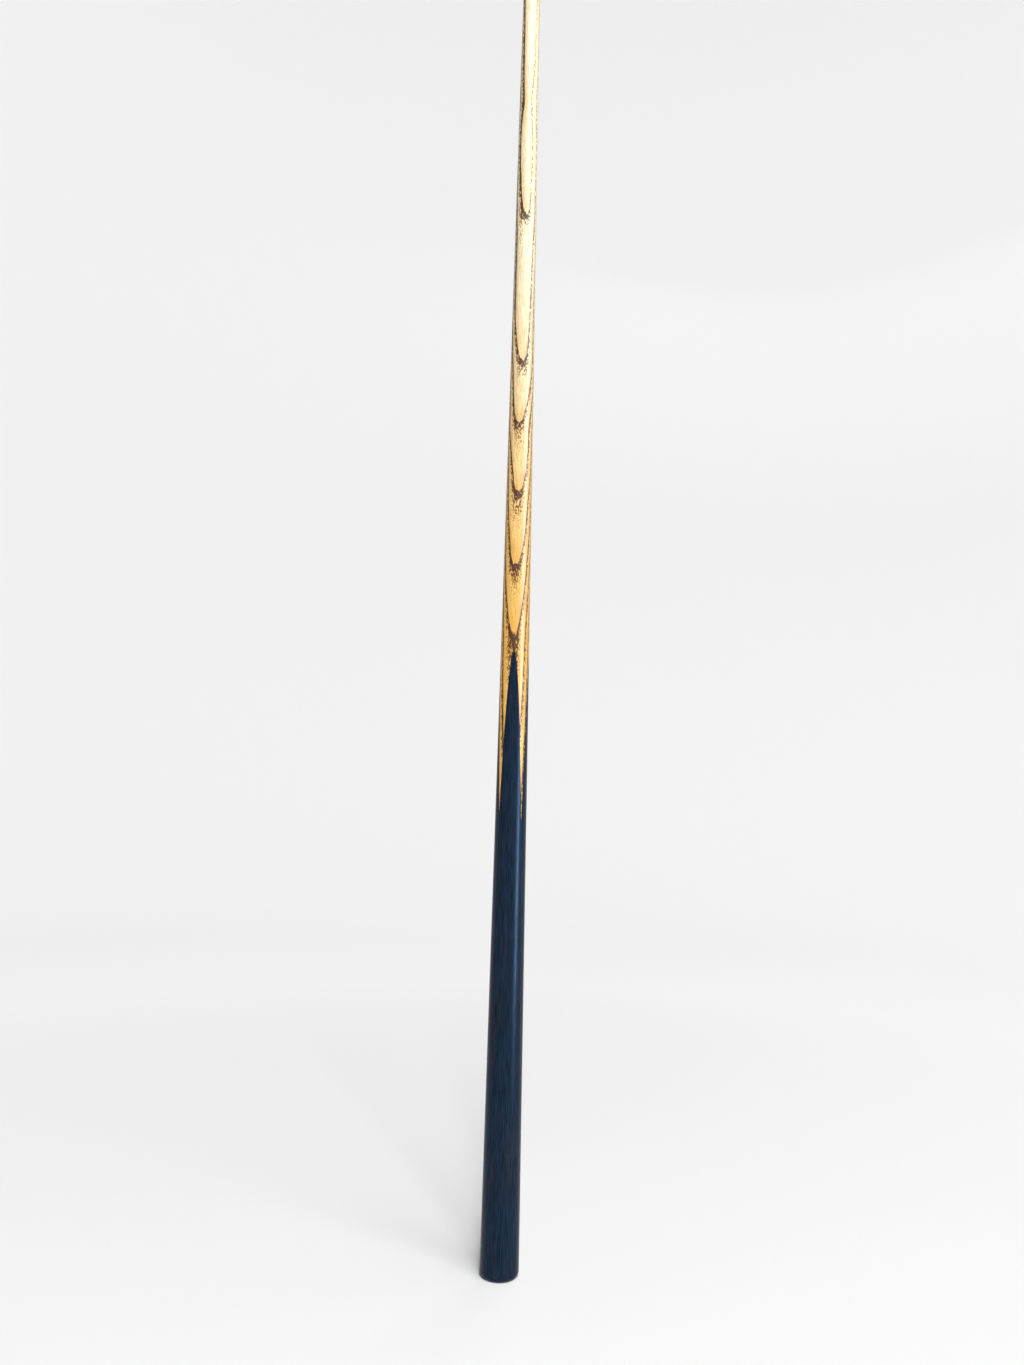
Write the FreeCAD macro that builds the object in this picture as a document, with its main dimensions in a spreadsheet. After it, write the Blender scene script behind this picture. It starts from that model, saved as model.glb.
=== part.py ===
"""One-piece ash pool cue with a four-point spliced butt, in millimetres.

The cue stands on its butt end. +Z runs along the axis to the tip, the origin is the centre
of the butt's end face, and the front splice faces -Y.
"""
import FreeCAD, Part
import math
import os

import Sketcher

doc = FreeCAD.newDocument("PoolCue")

# Driving dimensions, in millimetres
SIZES = {
    "cue_length": 1448.0,
    "butt_diameter": 29.0,
    "butt_edge_radius": 3.5,
    "tip_diameter": 9.5,
    "splice_reach": 464.0,
    "core_half_width": 2.0,
    "weight_diameter": 12.8,
    "weight_clearance": 0.1,
    "weight_length": 100.0,
    "plug_length": 25.0,
    "ferrule_length": 10.0,
    "ferrule_wall": 0.8,
    "glue_gap": 0.05,
    "backing_thickness": 1.2,
    "leather_thickness": 5.0,
    "crown_radius": 9.5,
    "leather_edge_radius": 0.4,
}

sheet = doc.addObject("Spreadsheet::Sheet", "Sizes")
for row, (alias, value) in enumerate(SIZES.items(), start=1):
    sheet.set(f"A{row}", alias)
    sheet.set(f"B{row}", str(value))
    sheet.setAlias(f"B{row}", alias)
doc.recompute()

# Levels and radii that follow from the driving dimensions
BUTT_RADIUS = "Sizes.butt_diameter / 2"
TIP_RADIUS = "Sizes.tip_diameter / 2"
LEATHER_BASE = "(Sizes.cue_length - Sizes.leather_thickness)"
BACKING_BASE = f"({LEATHER_BASE} - Sizes.backing_thickness)"
FERRULE_BASE = f"({BACKING_BASE} - Sizes.ferrule_length)"
TAPER = f"(({BUTT_RADIUS} - {TIP_RADIUS}) / {FERRULE_BASE})"
APEX_RADIUS = f"({BUTT_RADIUS} - {TAPER} * Sizes.splice_reach)"
SPLICE_SLOPE = f"(({APEX_RADIUS} - Sizes.core_half_width) / Sizes.splice_reach)"
BORE_RADIUS = "(Sizes.weight_diameter / 2 + Sizes.weight_clearance)"
BORE_DEPTH = "(Sizes.plug_length + Sizes.weight_length)"
TENON_RADIUS = f"({TIP_RADIUS} - Sizes.ferrule_wall - Sizes.glue_gap)"
FERRULE_BORE_RADIUS = f"({TIP_RADIUS} - Sizes.ferrule_wall)"

# The glued flats run on past the turned surface by this share of the butt's radius
OVERRUN = f"({BUTT_RADIUS} / 2)"
FLAT_LOW = (f"Sizes.core_half_width - {SPLICE_SLOPE} * {OVERRUN}", f"-{OVERRUN}")
FLAT_HIGH = (f"{APEX_RADIUS} + {SPLICE_SLOPE} * {OVERRUN}", f"Sizes.splice_reach + {OVERRUN}")
OUTSIDE = f"({BUTT_RADIUS} + {OVERRUN})"

# Lengths and volumes closer than this count as equal
CLOSE = 1e-6


def number(expression):
    """The value of an expression over the sheet's sizes."""
    return float(sheet.evalExpression(expression))


def plane_sketch(body, name, role):
    """A sketch of the body's own, on the origin plane with that role."""
    sketch = body.newObject("Sketcher::SketchObject", name)
    plane = next(f for f in body.Origin.OriginFeatures if f.Role == role)
    sketch.AttachmentSupport = [(plane, "")]
    sketch.MapMode = "FlatFace"
    return sketch


def origin_point():
    """The sketch's origin, as the curve and point numbers that constraints take."""
    return -1, 1


def tie_point(sketch, point, kind, expression):
    """Ties one coordinate of a sketch point to an expression, whatever its sign.

    A coordinate of nothing puts the point on the sketch's upright axis, number -2, or on its
    level one, number -1.
    """
    value = number(expression)
    if abs(value) < CLOSE:
        axis = -2 if kind == "DistanceX" else -1
        sketch.addConstraint(Sketcher.Constraint("PointOnObject", *point, axis))
        return
    ends = (*origin_point(), *point) if value > 0 else (*point, *origin_point())
    index = sketch.addConstraint(Sketcher.Constraint(kind, *ends, abs(value)))
    sketch.setExpression(f"Constraints[{index}]", expression if value > 0 else f"-({expression})")


def draw_outline(sketch, corners):
    """A closed outline of straight lines whose corners are pairs of expressions."""
    points = [FreeCAD.Vector(number(x), number(y), 0) for x, y in corners]
    count = len(points)
    lines = [
        sketch.addGeometry(Part.LineSegment(points[i], points[(i + 1) % count]), False)
        for i in range(count)
    ]
    for i, line in enumerate(lines):
        sketch.addConstraint(Sketcher.Constraint("Coincident", line, 2, lines[(i + 1) % count], 1))
    for line, (x, y) in zip(lines, corners):
        tie_point(sketch, (line, 1), "DistanceX", x)
        tie_point(sketch, (line, 1), "DistanceY", y)
    return lines


def draw_circle(sketch, radius):
    """A circle about the sketch's origin."""
    circle = sketch.addGeometry(Part.Circle(FreeCAD.Vector(), FreeCAD.Vector(0, 0, 1), number(radius)))
    sketch.addConstraint(Sketcher.Constraint("Coincident", circle, 3, *origin_point()))
    index = sketch.addConstraint(Sketcher.Constraint("Radius", circle, number(radius)))
    sketch.setExpression(f"Constraints[{index}]", radius)


def new_body(label):
    """A body whose label names the sub-part."""
    body = doc.addObject("PartDesign::Body", label)
    body.Label = label
    return body


def revolve(body, sketch, name):
    """Turns a half profile about the cue's axis."""
    turned = body.newObject("PartDesign::Revolution", name)
    turned.Profile = sketch
    turned.ReferenceAxis = (sketch, ["V_Axis"])
    turned.Angle = 360
    doc.recompute()
    return turned


def pad(body, sketch, name, length):
    """Raises a sketch of the XY plane by a length."""
    raised = body.newObject("PartDesign::Pad", name)
    raised.Profile = sketch
    raised.setExpression("Length", length)
    doc.recompute()
    return raised


def checked_cut(body, cut, name):
    """Recomputes a cut and makes sure that it took material away."""
    before = cut.BaseFeature.Shape.Volume
    doc.recompute()
    if not cut.Shape.Volume < before - CLOSE:
        raise RuntimeError(f"{body.Label}: {name} cut nothing")
    return cut


def cut_through(body, sketch, name):
    """Cuts a sketch right through the body, to both sides of its plane."""
    cut = body.newObject("PartDesign::Pocket", name)
    cut.Profile = sketch
    cut.Type = "ThroughAll"
    cut.SideType = "Symmetric"
    return checked_cut(body, cut, name)


def bore_from_butt(body):
    """Drills the weight's bore up the axis from the butt's end face."""
    sketch = plane_sketch(body, f"{body.Label}_bore_sketch", "XY_Plane")
    draw_circle(sketch, BORE_RADIUS)
    bore = body.newObject("PartDesign::Pocket", f"{body.Label}_bore")
    bore.Profile = sketch
    bore.Reversed = True
    bore.setExpression("Length", BORE_DEPTH)
    return checked_cut(body, bore, "bore")


def wedge_outside_flat(sketch):
    """The outline of the wood outside one glued flat."""
    draw_outline(sketch, [FLAT_LOW, (OUTSIDE, f"-{OVERRUN}"), (OUTSIDE, FLAT_HIGH[1]), FLAT_HIGH])


def butt_end_edges(turned):
    """The name of the round edge where the side meets the butt's end face."""
    radius = number(BUTT_RADIUS)
    for index, edge in enumerate(turned.Shape.Edges, start=1):
        box = edge.BoundBox
        at_end = abs(box.ZMin) < CLOSE and abs(box.ZMax) < CLOSE
        if at_end and abs(box.XMax - radius) < radius / 1000:
            return [f"Edge{index}"]
    raise RuntimeError("the butt's end has no round edge")


def make_shaft():
    """Ash shaft: one straight taper, a tenon for the ferrule, and four flats planed on the butt."""
    body = new_body("shaft")
    profile = plane_sketch(body, "shaft_profile", "XZ_Plane")
    draw_outline(
        profile,
        [
            ("0", "0"),
            (BUTT_RADIUS, "0"),
            (TIP_RADIUS, FERRULE_BASE),
            (TENON_RADIUS, FERRULE_BASE),
            (TENON_RADIUS, BACKING_BASE),
            ("0", BACKING_BASE),
        ],
    )
    revolve(body, profile, "shaft_turned")
    flat = plane_sketch(body, "shaft_flat_sketch", "XZ_Plane")
    wedge_outside_flat(flat)
    planed = cut_through(body, flat, "shaft_flat")
    pattern = body.newObject("PartDesign::PolarPattern", "shaft_flats")
    pattern.Originals = [planed]
    pattern.Axis = (flat, ["V_Axis"])
    pattern.Angle = 360
    pattern.Occurrences = 4
    body.Tip = pattern
    doc.recompute()
    body.Tip = bore_from_butt(body)
    return body


def make_splice(label, turn, trimmed):
    """One glued-on splice, turned flush with the taper, its point at the reach of the flats.

    The pair that is glued first is trimmed by the flats of the pair that is glued second.
    The splice is built facing +X, and turn carries it round the axis, in degrees.
    """
    body = new_body(label)
    profile = plane_sketch(body, f"{label}_profile", "XZ_Plane")
    top = FLAT_HIGH[1]
    draw_outline(
        profile,
        [("0", "0"), (BUTT_RADIUS, "0"), (f"{BUTT_RADIUS} - {TAPER} * ({top})", top), ("0", top)],
    )
    turned = revolve(body, profile, f"{label}_turned")
    rounded = body.newObject("PartDesign::Fillet", f"{label}_end_round")
    rounded.Base = (turned, butt_end_edges(turned))
    rounded.setExpression("Radius", "Sizes.butt_edge_radius")
    doc.recompute()
    inside = plane_sketch(body, f"{label}_glue_face_sketch", "XZ_Plane")
    draw_outline(inside, [FLAT_LOW, FLAT_HIGH, (f"-{OUTSIDE}", FLAT_HIGH[1]), (f"-{OUTSIDE}", FLAT_LOW[1])])
    cut_through(body, inside, f"{label}_glue_face")
    if trimmed:
        side = plane_sketch(body, f"{label}_side_sketch", "YZ_Plane")
        wedge_outside_flat(side)
        side_cut = cut_through(body, side, f"{label}_side")
        mirror = body.newObject("PartDesign::Mirrored", f"{label}_sides")
        mirror.Originals = [side_cut]
        mirror.MirrorPlane = (side, ["V_Axis"])
        body.Tip = mirror
        doc.recompute()
    body.Tip = bore_from_butt(body)
    body.Placement = FreeCAD.Placement(FreeCAD.Vector(), FreeCAD.Rotation(FreeCAD.Vector(0, 0, 1), turn))
    return body


def raise_body(body, level):
    """Lifts a body so that its base stands at a level of the cue."""
    body.setExpression("Placement.Base.z", level)
    doc.recompute()


def make_weight():
    """Cast lead bar that brings the butt to its playing weight, above the plug."""
    body = new_body("butt_weight")
    sketch = plane_sketch(body, "weight_sketch", "XY_Plane")
    draw_circle(sketch, "Sizes.weight_diameter / 2")
    pad(body, sketch, "weight_bar", "Sizes.weight_length")
    raise_body(body, "Sizes.plug_length")
    return body


def make_plug():
    """Stained plug that closes the weight's bore flush with the butt's end face."""
    body = new_body("end_plug")
    sketch = plane_sketch(body, "plug_sketch", "XY_Plane")
    draw_circle(sketch, BORE_RADIUS)
    pad(body, sketch, "plug_dowel", "Sizes.plug_length")
    return body


def make_ferrule():
    """Brass tube glued over the shaft's tenon."""
    body = new_body("ferrule")
    sketch = plane_sketch(body, "ferrule_sketch", "XY_Plane")
    draw_circle(sketch, TIP_RADIUS)
    draw_circle(sketch, FERRULE_BORE_RADIUS)
    pad(body, sketch, "ferrule_tube", "Sizes.ferrule_length")
    raise_body(body, FERRULE_BASE)
    return body


def make_backing():
    """Hard fibre disc between the leather and the ferrule."""
    body = new_body("tip_backing")
    sketch = plane_sketch(body, "backing_sketch", "XY_Plane")
    draw_circle(sketch, TIP_RADIUS)
    pad(body, sketch, "backing_disc", "Sizes.backing_thickness")
    raise_body(body, BACKING_BASE)
    return body


def make_leather():
    """Pressed leather tip with a round crown."""
    body = new_body("leather_tip")
    profile = plane_sketch(body, "leather_profile", "XZ_Plane")
    height = "Sizes.leather_thickness"
    crown = "Sizes.crown_radius"
    sag = f"({crown} - sqrt({crown} ^ 2 - ({TIP_RADIUS}) ^ 2))"
    corners = [("0", "0"), (TIP_RADIUS, "0"), (TIP_RADIUS, f"{height} - {sag}"), ("0", height)]
    points = [FreeCAD.Vector(number(x), number(y), 0) for x, y in corners]
    base = profile.addGeometry(Part.LineSegment(points[0], points[1]), False)
    side = profile.addGeometry(Part.LineSegment(points[1], points[2]), False)
    centre = FreeCAD.Vector(0, number(f"{height} - {crown}"), 0)
    circle = Part.Circle(centre, FreeCAD.Vector(0, 0, 1), number(crown))
    start = math.atan2(points[2].y - centre.y, points[2].x)
    arc = profile.addGeometry(Part.ArcOfCircle(circle, start, math.pi / 2), False)
    axis = profile.addGeometry(Part.LineSegment(points[3], points[0]), False)
    joins = [(base, 2, side, 1), (side, 2, arc, 1), (arc, 2, axis, 1), (axis, 2, base, 1)]
    for join in joins:
        profile.addConstraint(Sketcher.Constraint("Coincident", *join))
    profile.addConstraint(Sketcher.Constraint("Coincident", base, 1, *origin_point()))
    profile.addConstraint(Sketcher.Constraint("Horizontal", base))
    profile.addConstraint(Sketcher.Constraint("Vertical", side))
    profile.addConstraint(Sketcher.Constraint("PointOnObject", arc, 3, -2))
    profile.addConstraint(Sketcher.Constraint("PointOnObject", arc, 2, -2))
    tie_point(profile, (base, 2), "DistanceX", TIP_RADIUS)
    tie_point(profile, (arc, 2), "DistanceY", height)
    index = profile.addConstraint(Sketcher.Constraint("Radius", arc, number(crown)))
    profile.setExpression(f"Constraints[{index}]", crown)
    turned = revolve(body, profile, "leather_turned")
    crown_edge = next(
        f"Edge{i}"
        for i, edge in enumerate(turned.Shape.Edges, start=1)
        if edge.BoundBox.ZMin > CLOSE and edge.BoundBox.ZLength < CLOSE
    )
    rounded = body.newObject("PartDesign::Fillet", "leather_edge_round")
    rounded.Base = (turned, [crown_edge])
    rounded.setExpression("Radius", "Sizes.leather_edge_radius")
    raise_body(body, LEATHER_BASE)
    return body


parts = [
    make_shaft(),
    make_splice("splice_right", 0, True),
    make_splice("splice_left", 180, True),
    make_splice("splice_back", 90, False),
    make_splice("splice_front", -90, False),
    make_weight(),
    make_plug(),
    make_ferrule(),
    make_backing(),
    make_leather(),
]
doc.recompute()

for item in doc.Objects:
    if {"Invalid", "Error"} & set(item.State):
        raise RuntimeError(f"{item.Label} failed: {item.State}")
os.makedirs("parts", exist_ok=True)
for body in parts:
    shape = body.Shape
    if shape.isNull() or not shape.isValid() or len(shape.Solids) != 1:
        raise RuntimeError(f"{body.Label} isn't one valid solid")
    shape.exportStep(f"parts/{body.Label}.step")
    box = shape.BoundBox
    print(f"{body.Label}: {shape.Volume:.1f} mm3, z {box.ZMin:.2f} to {box.ZMax:.2f}")
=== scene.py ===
import math

import bmesh
import bpy
import numpy as np
from bpy.props import FloatProperty, PointerProperty, StringProperty
from bpy.types import Operator, Panel, PropertyGroup
from mathutils import Matrix, Vector


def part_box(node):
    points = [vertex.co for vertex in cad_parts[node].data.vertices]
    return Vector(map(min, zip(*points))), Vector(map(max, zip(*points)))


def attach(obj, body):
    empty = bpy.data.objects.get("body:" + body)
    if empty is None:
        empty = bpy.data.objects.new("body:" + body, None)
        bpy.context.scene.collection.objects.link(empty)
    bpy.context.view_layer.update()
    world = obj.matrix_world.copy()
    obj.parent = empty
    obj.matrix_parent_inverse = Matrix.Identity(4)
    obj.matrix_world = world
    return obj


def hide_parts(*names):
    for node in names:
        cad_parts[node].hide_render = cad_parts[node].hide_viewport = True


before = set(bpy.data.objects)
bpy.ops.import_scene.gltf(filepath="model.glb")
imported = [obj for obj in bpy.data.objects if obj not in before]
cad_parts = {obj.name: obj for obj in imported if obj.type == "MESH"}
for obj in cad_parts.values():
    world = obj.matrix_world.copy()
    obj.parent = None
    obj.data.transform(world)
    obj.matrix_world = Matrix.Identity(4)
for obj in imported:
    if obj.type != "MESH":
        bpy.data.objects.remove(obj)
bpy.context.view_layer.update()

bl_info = {
    "name": "Spliced One-Piece Cue",
    "version": (1, 0, 0),
    "blender": (4, 5, 0),
    "location": "3D View > Sidebar > Cue",
    "description": "Dresses a one-piece ash cue with a four-point spliced butt",
    "category": "Object",
}

MM = 0.001

# Points that agree to this many decimals of a metre are one point
WELD_DECIMALS = 8

# Sides of a turned piece, points of a small rounding and of the leather's dome
TURNED_COLUMNS = 96
ROUNDING_POINTS, DOME_POINTS = 9, 33

# Rings up the end face's rounding, the bored part, the rest to the valleys, on to the apex and
# from there to the ferrule
EDGE_RINGS, BORED_RINGS, CORE_RINGS, POINT_RINGS, SHAFT_RINGS = 13, 25, 41, 65, 260

# Points across a splice, and across a flat and an arc of the shaft
SPLICE_COLUMNS = 49
FLAT_POINTS, ARC_POINTS = 5, 21

# Rings up the cove behind the floor, and points round it
COVE_RINGS, FLOOR_COLUMNS = 33, 129

# Sockets of a Mix node for colours and of a Map Range node
FACTOR, UNDER, OVER = 0, 6, 7
VALUE, FROM_MIN, FROM_MAX, TO_MIN, TO_MAX = range(5)

# Heights that the frame gives, in metres
CORE_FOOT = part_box("shaft")[0].z
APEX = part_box("splice_front")[1].z
PLUG_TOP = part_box("end_plug")[1].z
WEIGHT_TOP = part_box("butt_weight")[1].z
FERRULE_BASE, FERRULE_TOP = (corner.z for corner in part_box("ferrule"))
BACKING_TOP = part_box("tip_backing")[1].z
TIP_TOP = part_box("leather_tip")[1].z

# Age of the wood along the crest of its layers: height in mm, years
CREST_YEARS = (
    (363, -1.0), (405, -0.55), (445, -0.2), (478, 0.0), (534.5, 1.0), (595.5, 2.0), (654.5, 3.0),
    (708, 4.0), (750, 4.45), (815, 4.7), (838.5, 5.0), (870, 5.22), (900, 5.36), (920, 5.27),
    (945, 5.08), (985, 5.28), (1030, 5.42), (1100, 5.9), (1125, 6.0), (1200, 6.85), (1218, 7.0),
    (1300, 8.0), (1400, 8.6), (1440, 8.8),
)

# Where the crest of the layers runs: height in mm, degrees from the front towards the right
CREST_BEARING = (
    (440, -3.0), (534, -3.0), (552, -0.5), (595, 0.0), (610, 3.0), (635, 0.0), (650, -6.0),
    (665, -1.5), (680, 2.5), (700, 7.0), (725, 2.0), (750, -3.0), (800, 0.0), (838, 4.0),
    (870, -1.0), (920, -5.7), (945, -2.5), (985, 1.5), (1030, 2.2), (1200, -4.0), (1440, 3.0),
)

# How far the rings wander, in years
WIDE_WANDER, NARROW_WANDER = 0.06, 0.12

# Width, depth and length of a pore's cell in mm, drawn several times its real width so that it
# shows, and how much of the colour the pores take
PORE_CELL = (0.75, 0.75, 2.4)
PORE_DEPTH = 0.97

# Heights between which the honey stain fades out, in metres. The fade is partly a real stain and partly
# painted light: the upper shaft is painted paler, as if more brightly lit.
STAIN_AND_LIGHT_START, STAIN_AND_LIGHT_END = 0.46, 0.84

# Strength of the surroundings on the object, where 1 is white
AMBIENT = 0.03

# White that the lens sees on the floor and the wall, by metres out from the cue plus metres up:
# the cue, three rings of the floor, the foot of the wall and its top
GLOW_AT = (0.0, 0.5, 1.2, 2.0, 5.2, 9.6)
GLOW_LEVEL = (0.0, 0.246, 0.62, 0.67, 0.67, 0.7)

# Soft lamps: name, colour, place (bearing in degrees, distance and height in metres), height they
# aim at, size, radiance, and what shows their light. Most of it comes from just right of the
# front, so the shadow hugs the left of the butt.
LAMPS = (
    ("key", "daylight", (7.5, 3.4, 4.3), 0.35, (0.48, 0.6), 152.0, "matt gloss"),
    ("near_key", "daylight", (19, 3.4, 4.3), 0.3, (0.85, 1.0), 52.0, "matt gloss"),
    ("right", "daylight", (45, 3.4, 4.3), 0.3, (2.3, 1.0), 22.0, "matt gloss"),
    ("side", "daylight", (95, 3.0, 3.4), 0.4, (2.6, 1.0), 1.9, "matt"),
    ("behind", "daylight", (160, 3.0, 3.4), 0.5, (2.0, 1.0), 2.7, "matt"),
    ("strip", "strip", (63, 1.15, 0.86), 0.86, (0.2, 1.7), 54.0, "gloss"),
)


class CueShape(PropertyGroup):
    """Sizes of the turned pieces that the frame's boxes don't give."""

    butt_radius: FloatProperty(
        name="Butt radius",
        description="Radius that the taper reaches at the end face, a hair inside the solid's",
        default=14.4995 * MM,
        unit="LENGTH",
    )
    butt_edge: FloatProperty(
        name="Butt edge",
        description="Radius of the rounding between the side and the end face",
        default=3.5 * MM,
        unit="LENGTH",
    )
    core_half_width: FloatProperty(
        name="Core half width",
        description="Distance from the axis to each planed flat at the end face",
        default=2.0 * MM,
        unit="LENGTH",
    )
    bore_radius: FloatProperty(
        name="Bore radius",
        description="Radius of the hole for the weight and its plug",
        default=6.5 * MM,
        unit="LENGTH",
    )
    weight_radius: FloatProperty(
        name="Weight radius",
        description="Radius of the cast weight",
        default=6.4 * MM,
        unit="LENGTH",
    )
    tip_radius: FloatProperty(
        name="Tip radius",
        description="Outer radius of the ferrule, the backing disc and the leather",
        default=4.75 * MM,
        unit="LENGTH",
    )
    ferrule_wall: FloatProperty(
        name="Ferrule wall",
        description="Thickness of the brass sleeve",
        default=0.8 * MM,
        unit="LENGTH",
    )
    tenon_radius: FloatProperty(
        name="Tenon radius",
        description="Radius of the ash tenon inside the ferrule",
        default=3.9 * MM,
        unit="LENGTH",
    )
    crown_radius: FloatProperty(
        name="Crown radius",
        description="Radius of the leather's dome",
        default=9.5 * MM,
        unit="LENGTH",
    )
    crown_edge: FloatProperty(
        name="Crown edge",
        description="Rounding where the dome meets the leather's side",
        default=0.4 * MM,
        unit="LENGTH",
    )
    worn_edge: FloatProperty(
        name="Worn edge",
        description="Tiny rounding of the brass and fibre edges",
        default=0.12 * MM,
        unit="LENGTH",
    )
    ring_width: FloatProperty(
        name="Ring width",
        description="Thickness of one year's growth in the ash",
        default=3.4 * MM,
        unit="LENGTH",
    )
    ring_crown: FloatProperty(
        name="Ring crown",
        description="Depth behind the crest within which the layers of ash are flatter",
        default=0.5 * MM,
        unit="LENGTH",
    )


class CueColours(PropertyGroup):
    """Colours of the woods, the metals, the tip and the stage, as sRGB hex values."""

    ash: StringProperty(name="Ash", description="Bare cream ash up the shaft", default="FAF0CE")
    honey: StringProperty(name="Honey", description="Ash next to the splices", default="F7C96C")
    latewood: StringProperty(name="Latewood", description="Denser wood of each year", default="E2BA7C")
    pore: StringProperty(name="Pore", description="Filled earlywood pores", default="42260F")
    pore_edge: StringProperty(
        name="Pore edge", description="Tint of the finish that soaked in by the pores", default="D8A868"
    )
    navy: StringProperty(name="Navy", description="Blue-black dyed splice wood", default="1B2A3D")
    navy_grain: StringProperty(name="Navy grain", description="Grain of the dyed wood", default="0A1420")
    thin_dye: StringProperty(name="Thin dye", description="Wood where the dye is thin", default="3F2D27")
    sheen: StringProperty(name="Sheen", description="Tint of the dyed wood's lacquer", default="AADAFF")
    brass: StringProperty(name="Brass", description="Ferrule", default="C9A458")
    leather: StringProperty(name="Leather", description="Side of the pressed tip", default="7A5334")
    leather_layer: StringProperty(
        name="Leather layer", description="Glued layers of the tip", default="2A1A12"
    )
    chalk: StringProperty(name="Chalk", description="Chalk rubbed into the crown", default="3F6D8C")
    fibre: StringProperty(name="Fibre", description="Vulcanised fibre disc", default="5B1F18")
    lead: StringProperty(name="Lead", description="Cast weight", default="74777B")
    floor: StringProperty(name="Floor", description="Paper round the cue", default="E4E4E4")
    backdrop: StringProperty(name="Backdrop", description="Far paper, below its glow", default="8A8A8A")
    daylight: StringProperty(name="Daylight", description="All lights but the strip", default="FFFFFF")
    strip: StringProperty(name="Strip light", description="Cool light at the right", default="DCE9FF")


class CueView(PropertyGroup):
    """The camera's place, in the frame of the cue turned by its own angle."""

    turn: FloatProperty(
        name="Turn", description="Turn about the cue's axis", default=math.radians(4.5), unit="ROTATION"
    )
    aside: FloatProperty(name="Aside", description="Shift to the right", default=-1.78 * MM, unit="LENGTH")
    distance: FloatProperty(
        name="Distance", description="Distance from the axis", default=759.05 * MM, unit="LENGTH"
    )
    height: FloatProperty(
        name="Height", description="Height of the lens", default=336.86 * MM, unit="LENGTH"
    )
    pitch: FloatProperty(
        name="Pitch", description="Tilt above the horizon", default=math.radians(7.744), unit="ROTATION"
    )
    roll: FloatProperty(
        name="Roll", description="Turn about the line of sight", default=math.radians(1.488), unit="ROTATION"
    )
    lens: FloatProperty(
        name="Lens", description="Focal length on a 36 mm long side", default=25.319, min=1.0
    )


def hex_to_linear(text):
    """An sRGB hex value as a linear RGBA colour."""
    channels = [int(text[i : i + 2], 16) / 255 for i in (0, 2, 4)]
    linear = [c / 12.92 if c <= 0.04045 else ((c + 0.055) / 1.055) ** 2.4 for c in channels]
    return (*linear, 1.0)


def taper_radius(z, shape):
    """Radius of the turned surface: a straight line from the butt's radius to the ferrule's."""
    slope = (shape.butt_radius - shape.tip_radius) / FERRULE_BASE
    return shape.butt_radius - slope * np.asarray(z, dtype=float)


def glue_flat(z, shape):
    """Distance of the planed flats from the axis: a straight line from the end face to the apex."""
    rise = taper_radius(APEX, shape) - shape.core_half_width
    return shape.core_half_width + rise * np.asarray(z, dtype=float) / APEX


def valley_height(shape):
    """Height where the square core's corner meets the taper, both of them straight lines in z."""
    diagonal = math.sqrt(2)
    flat_slope = (taper_radius(APEX, shape) - shape.core_half_width) / APEX
    taper_slope = (shape.butt_radius - shape.tip_radius) / FERRULE_BASE
    corner = diagonal * shape.core_half_width
    return (shape.butt_radius - corner) / (diagonal * flat_slope + taper_slope)


def chord_reach(radius, flat):
    """Half the chord that a flat at that distance cuts from a circle, nothing where it misses."""
    return np.sqrt(np.maximum(radius**2 - flat**2, 0))


def smooth_through(places, knots):
    """Piecewise cubic through (place, value) knots.

    Its slope at a knot is the harmonic mean of the slopes beside it, and nothing where they
    disagree in sign, so the curve never overshoots. Beyond the ends it goes on straight.
    """
    at, value = np.asarray(knots, dtype=float).T
    step = np.diff(at)
    secant = np.diff(value) / step
    product = secant[:-1] * secant[1:]
    inner = np.where(product > 0, 2 * product / np.where(product > 0, secant[:-1] + secant[1:], 1), 0)
    slope = np.concatenate([secant[:1], inner, secant[-1:]])
    left = np.clip(np.searchsorted(at, places, side="right") - 1, 0, len(step) - 1)
    share = (places - at[left]) / step[left]
    inside = np.clip(share, 0, 1)
    square, cube = inside**2, inside**3
    curve = (2 * cube - 3 * square + 1) * value[left] + (3 * square - 2 * cube) * value[left + 1]
    curve += step[left] * ((cube - 2 * square + inside) * slope[left] + (cube - square) * slope[left + 1])
    outside = share - inside
    return curve + outside * step[left] * np.where(outside < 0, slope[left], slope[left + 1])


def skin(name, rings, smooth):
    """Skins closed rings of points, an array (ring, point, xyz), into an object.

    smooth says which quads (ring, point) shade smoothly. A ring that shrinks to a point or folds
    onto a line closes that end: points that coincide become one, a quad that loses a side becomes
    a triangle, one that loses two goes, and the faces are turned outwards.
    """
    rows, columns = rings.shape[:2]
    row, column = np.meshgrid(np.arange(rows - 1), np.arange(columns), indexing="ij")
    after = (column + 1) % columns
    below, above = row * columns, (row + 1) * columns
    quads = np.stack([below + column, below + after, above + after, above + column], axis=-1)
    points, welded = np.unique(np.round(rings.reshape(-1, 3), WELD_DECIMALS), axis=0, return_inverse=True)
    quads = welded.ravel()[quads.reshape(-1, 4)]
    repeats = quads == np.roll(quads, -1, axis=1)
    lost = repeats.sum(axis=1)
    triangles = quads[lost == 1][~repeats[lost == 1]].reshape(-1, 3)
    shading = np.asarray(smooth, dtype=bool).ravel()
    mesh = bpy.data.meshes.new(name)
    mesh.from_pydata(points.tolist(), [], quads[lost == 0].tolist() + triangles.tolist())
    mesh.polygons.foreach_set("use_smooth", np.concatenate([shading[lost == 0], shading[lost == 1]]))
    work = bmesh.new()
    work.from_mesh(mesh)
    bmesh.ops.recalc_face_normals(work, faces=work.faces)
    open_edges = sum(not edge.is_manifold for edge in work.edges)
    work.to_mesh(mesh)
    work.free()
    if open_edges:
        raise RuntimeError(f"{name} has {open_edges} edges that aren't shared by two faces")
    piece = bpy.data.objects.new(name, mesh)
    bpy.context.scene.collection.objects.link(piece)
    return piece


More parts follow.
